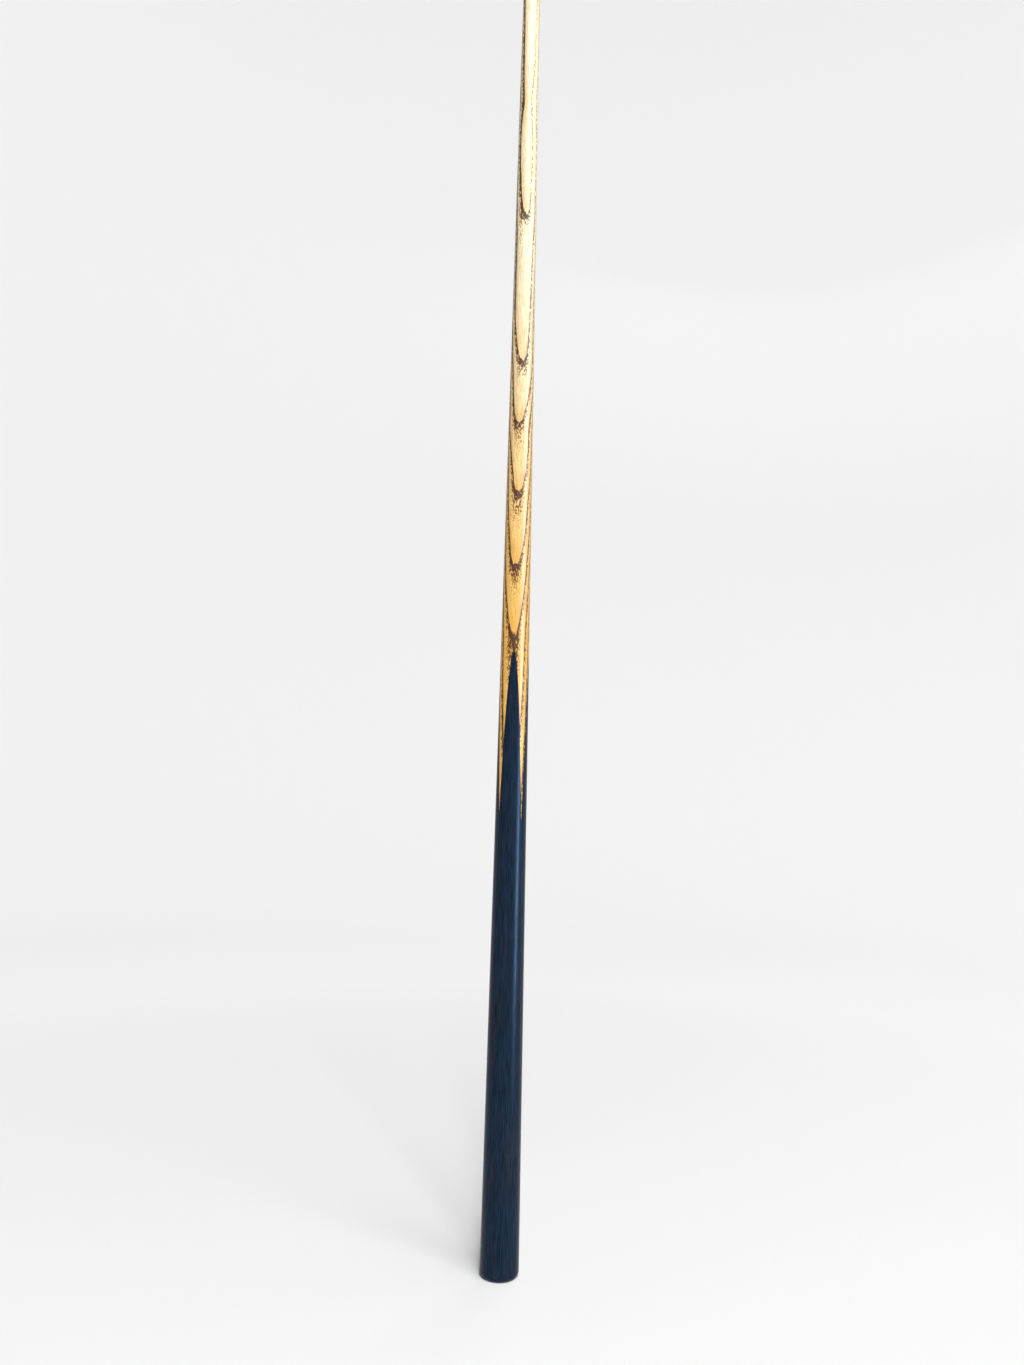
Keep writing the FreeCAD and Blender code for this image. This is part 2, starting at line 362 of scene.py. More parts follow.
def revolve(name, profile, smooth):
    """Turns a profile of (radius, height) points about the axis: each goes round as radius times
    (cos, sin) at its height. smooth says which spans of the profile shade smoothly.
    """
    profile = np.asarray(profile, dtype=float)
    angle = np.linspace(0, 2 * math.pi, TURNED_COLUMNS, endpoint=False)
    around = np.stack([np.cos(angle), np.sin(angle)], axis=-1)
    height = np.broadcast_to(profile[:, None, 1:], (len(profile), TURNED_COLUMNS, 1))
    rings = np.concatenate([profile[:, :1, None] * around, height], axis=-1)
    return skin(name, rings, np.repeat(np.asarray(smooth, dtype=bool)[:, None], TURNED_COLUMNS, axis=1))


def rounding(centre, radius, first, last, count=ROUNDING_POINTS):
    """Points of an arc in a profile, from one angle to another in radians."""
    angle = np.linspace(first, last, count)
    return np.stack([centre[0] + radius * np.cos(angle), centre[1] + radius * np.sin(angle)], axis=-1)


def store_values(piece, name, values):
    """Stores one number for each point of a piece, for its material to read."""
    layer = piece.data.attributes.new(name, "FLOAT", "POINT")
    layer.data.foreach_set("value", np.broadcast_to(values, len(piece.data.vertices)).astype(np.float32))


def points_of(piece):
    """The piece's points as an array (point, xyz)."""
    places = np.empty(len(piece.data.vertices) * 3)
    piece.data.vertices.foreach_get("co", places)
    return places.reshape(-1, 3)


def butt_rows(shape):
    """Heights and radii of the splices' rings from the end face to the apex, and which are bored.

    The rounding is a quarter circle. The rings crowd towards the apex with the square of their
    distance, because the points of the splices narrow with its root.
    """
    turn = np.linspace(0, math.pi / 2, EDGE_RINGS)
    edge, valley = shape.butt_edge, valley_height(shape)
    parts = (
        edge * (1 - np.cos(turn)),
        np.linspace(edge, CORE_FOOT, BORED_RINGS)[1:],
        np.linspace(CORE_FOOT, valley, CORE_RINGS),
        APEX - (APEX - valley) * np.linspace(1, 0, POINT_RINGS)[1:] ** 2,
    )
    height = np.concatenate(parts)
    radius = taper_radius(height, shape)
    radius[: len(turn)] = taper_radius(edge, shape) - edge * (1 - np.sin(turn))
    bored = np.arange(len(height)) < len(parts[0]) + len(parts[1])
    return height, radius, bored


def splice_rings(shape, first_pair, turn):
    """Closed rings of one splice, and which of their quads are its turned surface.

    A splice facing +X lies between the flat x = p(z) and the circle of radius R(z). One of the
    first pair is cut off at |y| = p by the flats of the second pair, which run out to the circle.
    Up to the core's foot the bore takes its inner side away, from one of the second pair only in
    the middle half of its columns. The whole is then turned about Z.
    """
    height, radius, bored = butt_rows(shape)
    flat = glue_flat(height, shape)
    reach = chord_reach(radius, flat)
    reach[-1] = 0
    half = np.minimum(reach, flat) if first_pair else reach
    share = np.linspace(-1, 1, SPLICE_COLUMNS)
    angle = np.arctan2(half, np.sqrt(radius**2 - half**2))[:, None] * share
    outer = np.stack([radius[:, None] * np.cos(angle), radius[:, None] * np.sin(angle)], axis=-1)
    plane = np.stack([np.broadcast_to(flat[:, None], angle.shape), half[:, None] * share], axis=-1)
    bore = shape.bore_radius
    if first_pair:
        bore_angle = np.arcsin(np.minimum(half / bore, 1))[:, None] * share
        bore_side = np.stack([bore * np.cos(bore_angle), bore * np.sin(bore_angle)], axis=-1)
    else:
        bore_half = chord_reach(bore, flat)[:, None]
        bore_angle = np.arctan2(bore_half, flat[:, None]) * np.clip(2 * share, -1, 1)
        beyond = np.sign(share) * (half[:, None] - bore_half) * np.maximum(2 * np.abs(share) - 1, 0)
        on_bore = np.abs(share) <= 0.5
        width = np.where(on_bore, bore * np.sin(bore_angle), np.sign(share) * bore_half + beyond)
        depth = np.where(on_bore, bore * np.cos(bore_angle), flat[:, None])
        bore_side = np.stack([depth, width], axis=-1)
    inner = np.where(bored[:, None, None], bore_side, plane)
    middle = (outer[:1] + inner[:1]) / 2
    outer = np.concatenate([middle, outer])
    inner = np.concatenate([middle, inner])
    flat_ring = np.concatenate([outer, inner[:, ::-1]], axis=1)
    cosine, sine = math.cos(turn), math.sin(turn)
    flat_ring = flat_ring @ np.array([[cosine, sine], [-sine, cosine]])
    level = np.concatenate([height[:1], height])[:, None, None]
    rings = np.concatenate([flat_ring, np.broadcast_to(level, (*flat_ring.shape[:2], 1))], axis=-1)
    smooth = np.zeros((len(rings) - 1, rings.shape[1]), dtype=bool)
    smooth[1:, : len(share) - 1] = True
    return rings, smooth


def shaft_rings(shape):
    """Closed rings of the ash from the core's foot to the end of the tenon, and their smooth quads.

    Each quarter of a ring is the flat x = p(z) with |y| up to half the chord, then the arc to the
    next flat. Below the valleys the arcs shrink to the square core's corners, and above the apex
    the flats shrink to points, so the rings are circles.
    """
    valley = valley_height(shape)
    parts = (
        np.linspace(CORE_FOOT, valley, CORE_RINGS),
        APEX - (APEX - valley) * np.linspace(1, 0, POINT_RINGS)[1:] ** 2,
        np.linspace(APEX, FERRULE_BASE, SHAFT_RINGS)[1:],
    )
    height = np.concatenate(parts)
    radius = taper_radius(height, shape)
    flat = glue_flat(height, shape)
    spliced = height < APEX
    half = np.where(spliced, np.minimum(chord_reach(radius, flat), flat), 0)
    round_radius = np.where(spliced, np.minimum(radius, math.sqrt(2) * flat), radius)
    front = np.where(spliced, flat, radius)
    across = half[:, None] * np.linspace(-1, 1, FLAT_POINTS)
    start = np.arcsin(half / round_radius)[:, None]
    angle = start + (math.pi / 2 - 2 * start) * np.linspace(0, 1, ARC_POINTS)[1:-1]
    planed = np.stack([np.broadcast_to(front[:, None], across.shape), across], axis=-1)
    arc = round_radius[:, None, None] * np.stack([np.cos(angle), np.sin(angle)], axis=-1)
    quarter = np.concatenate([planed, arc], axis=1)
    quarters = [quarter]
    for _ in range(3):
        last = quarters[-1]
        quarters.append(np.stack([-last[..., 1], last[..., 0]], axis=-1))
    section = np.concatenate(quarters, axis=1)
    tenon = section[-1:] * (shape.tenon_radius / radius[-1])
    centre = np.zeros_like(tenon)
    section = np.concatenate([centre, section, tenon, tenon, centre])
    levels = np.concatenate([height[:1], height, [FERRULE_BASE, FERRULE_TOP, FERRULE_TOP]])
    level = np.broadcast_to(levels[:, None, None], (*section.shape[:2], 1))
    rings = np.concatenate([section, level], axis=-1)
    smooth = np.zeros((len(rings) - 1, rings.shape[1]), dtype=bool)
    on_arc = np.arange(rings.shape[1]) % quarter.shape[1] >= across.shape[1] - 1
    smooth[1 : len(height)] = on_arc
    smooth[len(height) + 1] = True
    return rings, smooth


def crest_depth(places, shape):
    """Depth of each point behind the plane that touches the turned surface at the crest."""
    x, y, z = places.T
    bearing = np.radians(smooth_through(z / MM, CREST_BEARING))
    return taper_radius(z, shape) - x * np.sin(bearing) + y * np.cos(bearing)


def ring_growth(places, shape):
    """Age of the wood in years at each point.

    It is the crest's age at that height, less the depth behind the crest over a ring's width.
    Close to the crest the layers are flatter still, so d becomes d squared over d plus the crown.
    """
    depth = crest_depth(places, shape)
    flattened = depth**2 / (depth + shape.ring_crown)
    return smooth_through(places[:, 2] / MM, CREST_YEARS) - flattened / shape.ring_width


def pore_crowding(places, shape):
    """How closely the pores stand on a line, and how soon they thin out below it.

    Both are in pore spacings, the second per root of a year, and both go by straight lines between a few
    heights and depths in mm. Up the shaft a line grows stronger on the left flank and breaks into dots on
    the right one. The dotted lines are the grain, but the difference between the flanks is painted light and
    shade: the right flank's lines fade where light from the right is brightest, and the left flank's darken
    in its shade. Low down on the crest it trails the most dots.
    """
    x, _, z = places.T / MM
    depth = crest_depth(places, shape) / MM
    # Nought on the crest, one on the flanks, and nought to one from the left to the right
    down, across = np.interp(depth, (0.1, 0.9), (0, 1)), np.interp(x, (-3, 3), (0, 1))
    deep = np.interp(depth, (1.5, 4.0), (0.0, 0.15))
    # Painted light and shade: higher up, the left flank's lines are made stronger and the right flank's
    # weaker, where light from the right is brightest
    left, right = np.interp(z, (700, 880), (0.15, 0.3)), np.interp(z, (700, 900), (0.0, -0.3))
    closeness = 1.12 + deep + down * (left + (right - left) * across)
    crest = np.interp(z, (600, 840), (1.32, 2.3))
    flank = 1.5 - 0.05 * across
    return closeness, crest + (flank - crest) * down


def bare_and_lit_share(places):
    """Share of pale cream against honey, a smooth step up the shaft: partly bare wood above the stain,
    partly a painted highlight that makes the upper shaft paler.
    """
    share = np.clip((places[:, 2] - STAIN_AND_LIGHT_START) / (STAIN_AND_LIGHT_END - STAIN_AND_LIGHT_START), 0, 1)
    return share**2 * (3 - 2 * share)


def add_node(owner, kind, inputs=None, output=0, **settings):
    """Adds a node, sets it, feeds its sockets with values or other sockets, returns an output."""
    tree = owner.node_tree
    node = tree.nodes.new(kind)
    for name, value in settings.items():
        setattr(node, name, value)
    for key, value in (inputs or {}).items():
        if isinstance(value, bpy.types.NodeSocket):
            tree.links.new(value, node.inputs[key])
        else:
            node.inputs[key].default_value = value
    return node.outputs[output]


def grain_space(material, size, shift=0.0):
    """Coordinates in the solid wood, in units of that many millimetres in x, y and z."""
    place = add_node(material, "ShaderNodeTexCoord", output="Object")
    stretch = {0: place, 1: [1000 / length for length in size], 2: (shift, shift, shift)}
    return add_node(material, "ShaderNodeVectorMath", stretch, operation="MULTIPLY_ADD")


def grain(material, size, detail=2.0, shift=0.0):
    """Noise in the solid wood, its grains that many millimetres long in x, y and z."""
    scaled = grain_space(material, size, shift)
    return add_node(material, "ShaderNodeTexNoise", {"Vector": scaled, "Scale": 1.0, "Detail": detail})


def new_material(name):
    """A material and its surface shader."""
    material = bpy.data.materials.new(name)
    material.use_nodes = True
    return material, material.node_tree.nodes["Principled BSDF"]


def finish(material, shader, **inputs):
    """Sets shader sockets, named with underscores for spaces, to values or other sockets."""
    for name, value in inputs.items():
        socket = shader.inputs[name.replace("_", " ")]
        if isinstance(value, bpy.types.NodeSocket):
            material.node_tree.links.new(value, socket)
        else:
            socket.default_value = value


def ash_material(colours):
    """Ash under satin lacquer: cream, honey near the splices, with broken lines of dark pores.

    The pores are the cells of a Voronoi pattern, long along the cue. Each is as large as the
    share of the year still to come is small, so a line has a sharp edge above and dots below.
    """
    material, shader = new_material("ash_satin_lacquer")
    growth, closeness, thinning, bare_and_lit = (
        add_node(material, "ShaderNodeAttribute", output="Fac", attribute_name=name)
        for name in ("growth", "closeness", "thinning", "bare_and_lit")
    )
    # The rings wander a little, which keeps their edges from looking ruled
    wide = {0: grain(material, (6, 6, 70)), 1: WIDE_WANDER, 2: growth}
    narrow = {0: grain(material, (0.8, 0.8, 9)), 1: NARROW_WANDER}
    narrow[2] = add_node(material, "ShaderNodeMath", wide, operation="MULTIPLY_ADD")
    years = add_node(material, "ShaderNodeMath", narrow, operation="MULTIPLY_ADD")
    into_year = add_node(material, "ShaderNodeMath", {0: years}, operation="FRACT")
    to_come = add_node(material, "ShaderNodeMath", {0: 1.0, 1: into_year}, operation="SUBTRACT")
    # A pore fills its cell as far as its reach goes, which shrinks with the root of the time to come
    rooted = add_node(material, "ShaderNodeMath", {0: to_come, 1: 0.5}, operation="POWER")
    shrink = add_node(material, "ShaderNodeMath", {0: rooted, 1: thinning}, operation="MULTIPLY")
    reach = add_node(material, "ShaderNodeMath", {0: closeness, 1: shrink}, operation="SUBTRACT")
    cells = {"Vector": grain_space(material, PORE_CELL), "Scale": 1.0}
    centre = add_node(material, "ShaderNodeTexVoronoi", cells, output="Distance")
    inside = add_node(material, "ShaderNodeMath", {0: reach, 1: centre}, operation="SUBTRACT")
    rim = {VALUE: inside, FROM_MIN: -0.08, FROM_MAX: 0.1}
    line = add_node(material, "ShaderNodeMapRange", rim, interpolation_type="SMOOTHSTEP")
    # Lone pores are scattered through the rest of the year
    specks = grain(material, (0.6, 0.6, 3.5), detail=1.0, shift=9.0)
    lone = {VALUE: specks, FROM_MIN: 0.6, FROM_MAX: 0.74, TO_MAX: 0.3}
    flecks = add_node(material, "ShaderNodeMapRange", lone, interpolation_type="SMOOTHSTEP")
    # Honey low down fading to cream up the shaft: part real stain, part painted light that makes the upper
    # shaft paler as if brighter lit
    wood = {FACTOR: bare_and_lit, UNDER: hex_to_linear(colours.honey), OVER: hex_to_linear(colours.ash)}
    tone = add_node(material, "ShaderNodeMix", wood, output=2, data_type="RGBA")
    # Latewood is a shade deeper, and its fibres vary from one to the next
    late = {VALUE: to_come, FROM_MIN: 0.55, FROM_MAX: 1.0, TO_MIN: 0.0, TO_MAX: 0.34}
    deep = add_node(material, "ShaderNodeMapRange", late, interpolation_type="SMOOTHSTEP")
    streaks = grain(material, (0.9, 0.9, 10), detail=4.0, shift=3.0)
    streaky = {VALUE: streaks, FROM_MIN: 0.42, FROM_MAX: 0.68, TO_MAX: 0.55}
    fibres = add_node(material, "ShaderNodeMapRange", streaky)
    shade = add_node(material, "ShaderNodeMath", {0: fibres, 1: deep}, operation="ADD")
    deeper = {FACTOR: shade, UNDER: tone, OVER: hex_to_linear(colours.latewood)}
    body = add_node(material, "ShaderNodeMix", deeper, output=2, data_type="RGBA", blend_type="MULTIPLY")
    # The finish soaks in beside the pores and leaves them a warm brown edge
    edge = {VALUE: inside, FROM_MIN: -0.22, FROM_MAX: 0.08, TO_MAX: 0.85}
    soaked = add_node(material, "ShaderNodeMapRange", edge, interpolation_type="SMOOTHSTEP")
    warm = {FACTOR: soaked, UNDER: body, OVER: hex_to_linear(colours.pore_edge)}
    body = add_node(material, "ShaderNodeMix", warm, output=2, data_type="RGBA", blend_type="MULTIPLY")
    drawn = add_node(material, "ShaderNodeMath", {0: line, 1: PORE_DEPTH}, operation="MULTIPLY")
    dark = add_node(material, "ShaderNodeMath", {0: drawn, 1: flecks}, operation="MAXIMUM")
    pored = {FACTOR: dark, UNDER: body, OVER: hex_to_linear(colours.pore)}
    colour = add_node(material, "ShaderNodeMix", pored, output=2, data_type="RGBA")
    # Rubbed to a satin, the lacquer lifts the tone without a sharp highlight, less so over pores
    rough = add_node(material, "ShaderNodeMath", {0: line, 1: 0.12, 2: 0.38}, operation="MULTIPLY_ADD")
    finish(material, shader, Base_Color=colour, Roughness=rough, Specular_IOR_Level=0.3)
    return material


def dyed_material(colours):
    """Blue-black dyed hardwood under the same lacquer, so dark that its sheen draws its shape."""
    material, shader = new_material("splice_dyed_hardwood")
    tone = add_node(material, "ShaderNodeAttribute", output="Fac", attribute_name="tone")
    fine = {VALUE: grain(material, (0.5, 0.5, 14), detail=3.0), FROM_MIN: 0.38, FROM_MAX: 0.66}
    lines = add_node(material, "ShaderNodeMapRange", fine, interpolation_type="SMOOTHSTEP")
    navy, navy_grain = hex_to_linear(colours.navy), hex_to_linear(colours.navy_grain)
    dye = {FACTOR: lines, UNDER: navy, OVER: navy_grain}
    body = add_node(material, "ShaderNodeMix", dye, output=2, data_type="RGBA")
    # The dye took less well in a few long patches, more of them on one splice than on another
    patches = grain(material, (4, 4, 55), shift=2.0)
    patchy = {VALUE: patches, FROM_MIN: 0.54, FROM_MAX: 0.7, TO_MAX: tone}
    thin = add_node(material, "ShaderNodeMapRange", patchy, interpolation_type="SMOOTHSTEP")
    worn = {FACTOR: thin, UNDER: body, OVER: hex_to_linear(colours.thin_dye)}
    colour = add_node(material, "ShaderNodeMix", worn, output=2, data_type="RGBA")
    rough = add_node(material, "ShaderNodeMath", {0: lines, 1: 0.06, 2: 0.28}, operation="MULTIPLY_ADD")
    finish(
        material,
        shader,
        Base_Color=colour,
        Roughness=rough,
        Specular_IOR_Level=0.12,
        Specular_Tint=hex_to_linear(colours.sheen),
    )
    return material


def plug_material(colours):
    """End grain of the dyed plug: the same dye, dotted with open pores."""
    material, shader = new_material("plug_end_grain")
    pores = grain(material, (0.35, 0.35, 9), detail=1.0, shift=7.0)
    open_pores = {VALUE: pores, FROM_MIN: 0.58, FROM_MAX: 0.7}
    dots = add_node(material, "ShaderNodeMapRange", open_pores, interpolation_type="SMOOTHSTEP")
    dye = {FACTOR: dots, UNDER: hex_to_linear(colours.navy), OVER: hex_to_linear(colours.thin_dye)}
    colour = add_node(material, "ShaderNodeMix", dye, output=2, data_type="RGBA")
    finish(material, shader, Base_Color=colour, Roughness=0.42, Specular_IOR_Level=0.3)
    return material


def brass_material(colours):
    """Turned brass: a warm metal whose fine lathe lines spread the highlight along the axis."""
    material, shader = new_material("brass_turned")
    lines = grain(material, (40, 40, 0.09), detail=1.0)
    rough = add_node(material, "ShaderNodeMath", {0: lines, 1: 0.16, 2: 0.2}, operation="MULTIPLY_ADD")
    cut = {"Height": lines, "Strength": 0.25, "Distance": 0.02 * MM}
    bump = add_node(material, "ShaderNodeBump", cut)
    finish(material, shader, Base_Color=hex_to_linear(colours.brass), Metallic=1.0)
    finish(material, shader, Roughness=rough, Normal=bump)
    return material


def fibre_material(colours):
    """Red vulcanised fibre: dense and nearly matt."""
    material, shader = new_material("vulcanised_fibre")
    finish(material, shader, Base_Color=hex_to_linear(colours.fibre), Roughness=0.55)
    return material


def leather_material(colours):
    """Pressed leather: brown layers at the side, blue chalk rubbed into the dome."""
    material, shader = new_material("leather_pressed")
    stack = grain(material, (6, 6, 0.5))
    pressed = {VALUE: stack, FROM_MIN: 0.35, FROM_MAX: 0.65, TO_MAX: 0.45}
    layers = add_node(material, "ShaderNodeMapRange", pressed, interpolation_type="SMOOTHSTEP")
    leather, glued = hex_to_linear(colours.leather), hex_to_linear(colours.leather_layer)
    hide = {FACTOR: layers, UNDER: leather, OVER: glued}
    side = add_node(material, "ShaderNodeMix", hide, output=2, data_type="RGBA")
    dust = grain(material, (0.5, 0.5, 0.5), detail=4.0)
    rubbed = add_node(material, "ShaderNodeAttribute", output="Fac", attribute_name="rubbed")
    chalky = add_node(material, "ShaderNodeMath", {0: rubbed, 1: dust}, operation="ADD")
    chalk_edge = {VALUE: chalky, FROM_MIN: 0.75, FROM_MAX: 1.2}
    crown = add_node(material, "ShaderNodeMapRange", chalk_edge, interpolation_type="SMOOTHSTEP")
    chalked = {FACTOR: crown, UNDER: side, OVER: hex_to_linear(colours.chalk)}
    colour = add_node(material, "ShaderNodeMix", chalked, output=2, data_type="RGBA")
    nap = {"Height": dust, "Strength": 0.6, "Distance": 0.08 * MM}
    bump = add_node(material, "ShaderNodeBump", nap)
    finish(material, shader, Base_Color=colour, Roughness=0.85, Specular_IOR_Level=0.2, Normal=bump)
    return material


def lead_material(colours):
    """Cast lead: grey metal dulled by its skin of oxide."""
    material, shader = new_material("lead_cast")
    finish(material, shader, Base_Color=hex_to_linear(colours.lead), Metallic=1.0, Roughness=0.6)
    return material


def seen_rays(owner):
    """One for rays from the lens, from reflections and through glass, nought for all others."""
    seen = add_node(owner, "ShaderNodeLightPath", output="Is Camera Ray")
    for ray in ("Is Glossy Ray", "Is Transmission Ray"):
        other = add_node(owner, "ShaderNodeLightPath", output=ray)
        seen = add_node(owner, "ShaderNodeMath", {0: seen, 1: other}, operation="MAXIMUM")
    return seen


def floor_material(colours):
    """Matt paper that keeps the cue's shadow. Far from the cue it is darker paper with a glow that
    only the lens and reflections see, so the background is pale without more light on the cue.
    """
    material, shader = new_material("floor_matt_paper")
    glow = add_node(material, "ShaderNodeAttribute", output="Fac", attribute_name="glow")
    outward = {VALUE: glow, FROM_MIN: GLOW_LEVEL[0], FROM_MAX: GLOW_LEVEL[3]}
    far = add_node(material, "ShaderNodeMapRange", outward)
    paper = {FACTOR: far, UNDER: hex_to_linear(colours.floor), OVER: hex_to_linear(colours.backdrop)}
    pale = add_node(material, "ShaderNodeMix", paper, output=2, data_type="RGBA")
    lift = {0: seen_rays(material), 1: glow}
    strength = add_node(material, "ShaderNodeMath", lift, operation="MULTIPLY")
    finish(material, shader, Base_Color=pale, Roughness=1.0, Specular_IOR_Level=0.0)
    finish(material, shader, Emission_Color=(1, 1, 1, 1), Emission_Strength=strength)
    return material


def dress(piece, node, material):
    """Gives a piece its material, hangs it from the root body and hides the CAD part that it stands for."""
    piece.data.materials.append(material)
    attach(piece, "root")
    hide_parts(node)


class CUE_OT_shaft(Operator):
    """Builds the ash shaft with its core, its flats and its tenon."""

    bl_idname = "cue.shaft"
    bl_label = "Build the ash shaft"

    def execute(self, context):
        shape = context.scene.cue_shape
        rings, smooth = shaft_rings(shape)
        piece = skin("ash_shaft", rings, smooth)
        places = points_of(piece)
        store_values(piece, "growth", ring_growth(places, shape) - (WIDE_WANDER + NARROW_WANDER) / 2)
        closeness, thinning = pore_crowding(places, shape)
        store_values(piece, "closeness", closeness)
        store_values(piece, "thinning", thinning)
        store_values(piece, "bare_and_lit", bare_and_lit_share(places))
        dress(piece, "shaft", ash_material(context.scene.cue_colours))
        return {"FINISHED"}


class CUE_OT_splices(Operator):
    """Builds the four dark splices, the first pair cut back by the second."""

    bl_idname = "cue.splices"
    bl_label = "Build the splices"

    def execute(self, context):
        shape = context.scene.cue_shape
        material = dyed_material(context.scene.cue_colours)
        splices = (
            ("right", True, 0.0, 0.3),
            ("left", True, math.pi, 0.2),
            ("back", False, math.pi / 2, 0.35),
            ("front", False, -math.pi / 2, 0.25),
        )
        for side, first_pair, turn, tone in splices:
            rings, smooth = splice_rings(shape, first_pair, turn)
            piece = skin("dyed_splice_" + side, rings, smooth)
            store_values(piece, "tone", tone)
            dress(piece, "splice_" + side, material)
        return {"FINISHED"}


class CUE_OT_butt_end(Operator):
    """Builds the plug that shows in the end face and the weight above it."""

    bl_idname = "cue.butt_end"
    bl_label = "Build the plug and weight"

    def execute(self, context):
        shape = context.scene.cue_shape
        colours = context.scene.cue_colours
        plug = [(0, 0), (shape.bore_radius, 0), (shape.bore_radius, PLUG_TOP), (0, PLUG_TOP)]
        piece = revolve("dyed_end_plug", plug, (False, True, False))
        dress(piece, "end_plug", plug_material(colours))
        radius = shape.weight_radius
        weight = [(0, PLUG_TOP), (radius, PLUG_TOP), (radius, WEIGHT_TOP), (0, WEIGHT_TOP)]
        piece = revolve("cast_butt_weight", weight, (False, True, False))
        dress(piece, "butt_weight", lead_material(colours))
        return {"FINISHED"}


class CUE_OT_tip(Operator):
    """Builds the ferrule, the backing disc and the leather."""

    bl_idname = "cue.tip"
    bl_label = "Build the tip"

    def execute(self, context):
        shape = context.scene.cue_shape
        colours = context.scene.cue_colours
        outer, inner, worn = shape.tip_radius, shape.tip_radius - shape.ferrule_wall, shape.worn_edge
        low = rounding((outer - worn, FERRULE_BASE + worn), worn, -math.pi / 2, 0)
        high = rounding((outer - worn, FERRULE_TOP - worn), worn, 0, math.pi / 2)
        sleeve = [(inner, FERRULE_BASE), *low, *high, (inner, FERRULE_TOP), (inner, FERRULE_BASE)]
        spans = [False] + [True] * (len(low) + len(high) - 1) + [False, True]
        piece = revolve("brass_ferrule", sleeve, spans)
        dress(piece, "ferrule", brass_material(colours))
        low = rounding((outer - worn, FERRULE_TOP + worn), worn, -math.pi / 2, 0)
        high = rounding((outer - worn, BACKING_TOP - worn), worn, 0, math.pi / 2)
        disc = [(0, FERRULE_TOP), *low, *high, (0, BACKING_TOP)]
        spans = [False] + [True] * (len(low) + len(high) - 1) + [False]
        piece = revolve("fibre_backing", disc, spans)
        dress(piece, "tip_backing", fibre_material(colours))
        dome, edge = shape.crown_radius, shape.crown_edge
        centre = TIP_TOP - dome
        rise = math.sqrt((dome - edge) ** 2 - (outer - edge) ** 2)
        turn = math.atan2(rise, outer - edge)
        side = rounding((outer - edge, centre + rise), edge, 0, turn)
        crown = rounding((0, centre), dome, turn, math.pi / 2, DOME_POINTS)[1:]
        leather = [(0, BACKING_TOP), (outer, BACKING_TOP), *side, *crown]
        spans = [False] + [True] * (len(leather) - 2)
        piece = revolve("leather_cap", leather, spans)
        height = points_of(piece)[:, 2]
        store_values(piece, "rubbed", (height - BACKING_TOP) / (TIP_TOP - BACKING_TOP))
        dress(piece, "leather_tip", leather_material(colours))
        return {"FINISHED"}


def point_at(light, target):
    """Turns a light so that it shines at a point."""
    light.rotation_mode = "QUATERNION"
    light.rotation_quaternion = (light.location - Vector(target)).to_track_quat("Z", "Y")


def soft_lamp(colours, name, colour, place, aim, size, radiance, seen_in):
    """A soft rectangle, unseen itself, that lights either the matt part, the gloss or both."""
    data = bpy.data.lights.new(name, "AREA")
    data.shape = "RECTANGLE"
    data.size, data.size_y = size
    data.energy = radiance * math.pi * size[0] * size[1]
    data.color = hex_to_linear(getattr(colours, colour))[:3]
    lamp = bpy.data.objects.new(name, data)
    bpy.context.scene.collection.objects.link(lamp)
    lamp.location = from_bearing(*place)
    lamp.visible_camera = False
    lamp.visible_diffuse = "matt" in seen_in
    lamp.visible_glossy = "gloss" in seen_in
    point_at(lamp, (0, 0, aim))
    return lamp


def from_bearing(bearing, distance, height):
    """A point that far from the axis, its bearing in degrees from the front towards the right."""
    angle = math.radians(bearing)
    return (distance * math.sin(angle), -distance * math.cos(angle), height)


def floor_bowl(colours):
    """The floor, a quarter-round cove and a round wall, as one profile turned about the axis."""
    reach, cove, top, drop = GLOW_AT[3], 1.6, 6.0, 0.2 * MM
    turn = np.linspace(0, math.pi / 2, COVE_RINGS)
    bend = np.stack([reach + cove * np.sin(turn), cove * (1 - np.cos(turn)) - drop], axis=-1)
    flat = [(out, -drop) for out in GLOW_AT[:3]]
    profile = np.concatenate([flat, bend, [(reach + cove, top)]])
    angle = np.linspace(0, 2 * math.pi, FLOOR_COLUMNS)
    radius, height = profile[:, :1], profile[:, 1:]
    grid = np.stack([radius * np.cos(angle), radius * np.sin(angle), height + 0 * angle], axis=-1)
    row, column = np.meshgrid(np.arange(len(profile) - 1), np.arange(len(angle) - 1), indexing="ij")
    first = (row * len(angle) + column).ravel()
    faces = np.stack([first, first + 1, first + len(angle) + 1, first + len(angle)], axis=-1)
    mesh = bpy.data.meshes.new("floor_bowl")
    mesh.from_pydata(grid.reshape(-1, 3).tolist(), [], faces.tolist())
    mesh.polygons.foreach_set("use_smooth", np.ones(len(faces), dtype=bool))
    mesh.materials.append(floor_material(colours))
    bowl = bpy.data.objects.new("floor_bowl", mesh)
    bpy.context.scene.collection.objects.link(bowl)
    out = np.hypot(*points_of(bowl).T[:2]) + points_of(bowl)[:, 2]
    store_values(bowl, "glow", np.interp(out, GLOW_AT, GLOW_LEVEL))
    return bowl


def set_world(scene, colours):
    """Even dim surroundings, which look as pale as the floor to the lens and to reflections."""
    world = bpy.data.worlds.new("surroundings")
    world.use_nodes = True
    level = {0: seen_rays(world), 1: 1.0 - AMBIENT, 2: AMBIENT}
    strength = add_node(world, "ShaderNodeMath", level, operation="MULTIPLY_ADD")
    background = world.node_tree.nodes["Background"]
    background.inputs["Color"].default_value = hex_to_linear(colours.floor)
    world.node_tree.links.new(strength, background.inputs["Strength"])
    scene.world = world


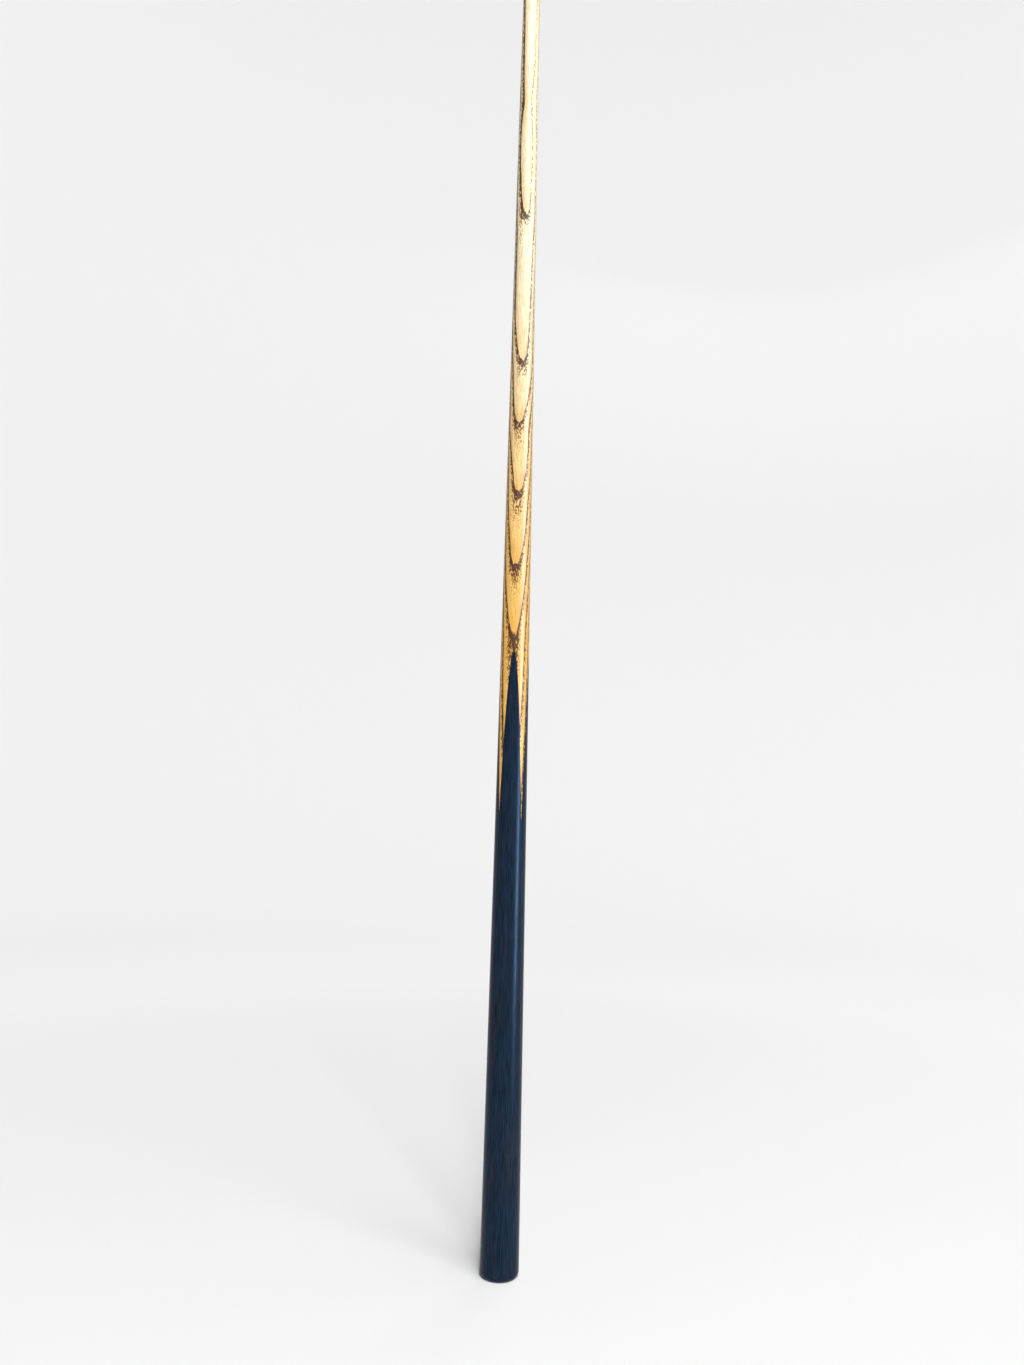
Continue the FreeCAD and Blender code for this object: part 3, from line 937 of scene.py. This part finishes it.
def set_camera(scene):
    """The camera: placed before the cue, tilted and rolled, then turned about the cue's axis."""
    view = scene.cue_view
    data = bpy.data.cameras.new("camera")
    data.lens = view.lens
    data.sensor_width = 36.0
    data.clip_start = 0.02
    camera = bpy.data.objects.new("camera", data)
    scene.collection.objects.link(camera)
    place = Matrix.Translation((view.aside, -view.distance, view.height))
    tilt = Matrix.Rotation(math.pi / 2 + view.pitch, 4, "X")
    turn, roll = (Matrix.Rotation(angle, 4, "Z") for angle in (view.turn, view.roll))
    camera.matrix_world = turn @ place @ tilt @ roll
    scene.camera = camera


class CUE_OT_stage(Operator):
    """Builds the pale floor and backdrop, the soft lights, the surroundings and the camera."""

    bl_idname = "cue.stage"
    bl_label = "Set the stage"

    def execute(self, context):
        colours = context.scene.cue_colours
        bowl = floor_bowl(colours)
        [soft_lamp(colours, *lamp) for lamp in LAMPS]
        set_world(context.scene, colours)
        set_camera(context.scene)
        return {"FINISHED"}


class CUE_PT_panel(Panel):
    """Lists the steps, the sizes and the colours."""

    bl_idname = "CUE_PT_panel"
    bl_label = "Cue"
    bl_category = "Cue"
    bl_space_type = "VIEW_3D"
    bl_region_type = "UI"

    def draw(self, context):
        for operator in OPERATORS:
            self.layout.operator(operator.bl_idname)
        for group in (context.scene.cue_shape, context.scene.cue_colours, context.scene.cue_view):
            for name in group.bl_rna.properties.keys():
                if name not in ("rna_type", "name"):
                    self.layout.prop(group, name)


OPERATORS = (CUE_OT_shaft, CUE_OT_splices, CUE_OT_butt_end, CUE_OT_tip, CUE_OT_stage)
CLASSES = (CueShape, CueColours, CueView, *OPERATORS, CUE_PT_panel)


def register():
    for cls in CLASSES:
        bpy.utils.register_class(cls)
    bpy.types.Scene.cue_shape = PointerProperty(type=CueShape)
    bpy.types.Scene.cue_colours = PointerProperty(type=CueColours)
    bpy.types.Scene.cue_view = PointerProperty(type=CueView)


def unregister():
    del bpy.types.Scene.cue_view
    del bpy.types.Scene.cue_colours
    del bpy.types.Scene.cue_shape
    for cls in reversed(CLASSES):
        bpy.utils.unregister_class(cls)


def main():
    register()
    bpy.ops.cue.shaft()
    bpy.ops.cue.splices()
    bpy.ops.cue.butt_end()
    bpy.ops.cue.tip()
    bpy.ops.cue.stage()
    bpy.context.scene.view_settings.view_transform = "Standard"
    bpy.context.view_layer.update()


if __name__ == "__main__":
    main()
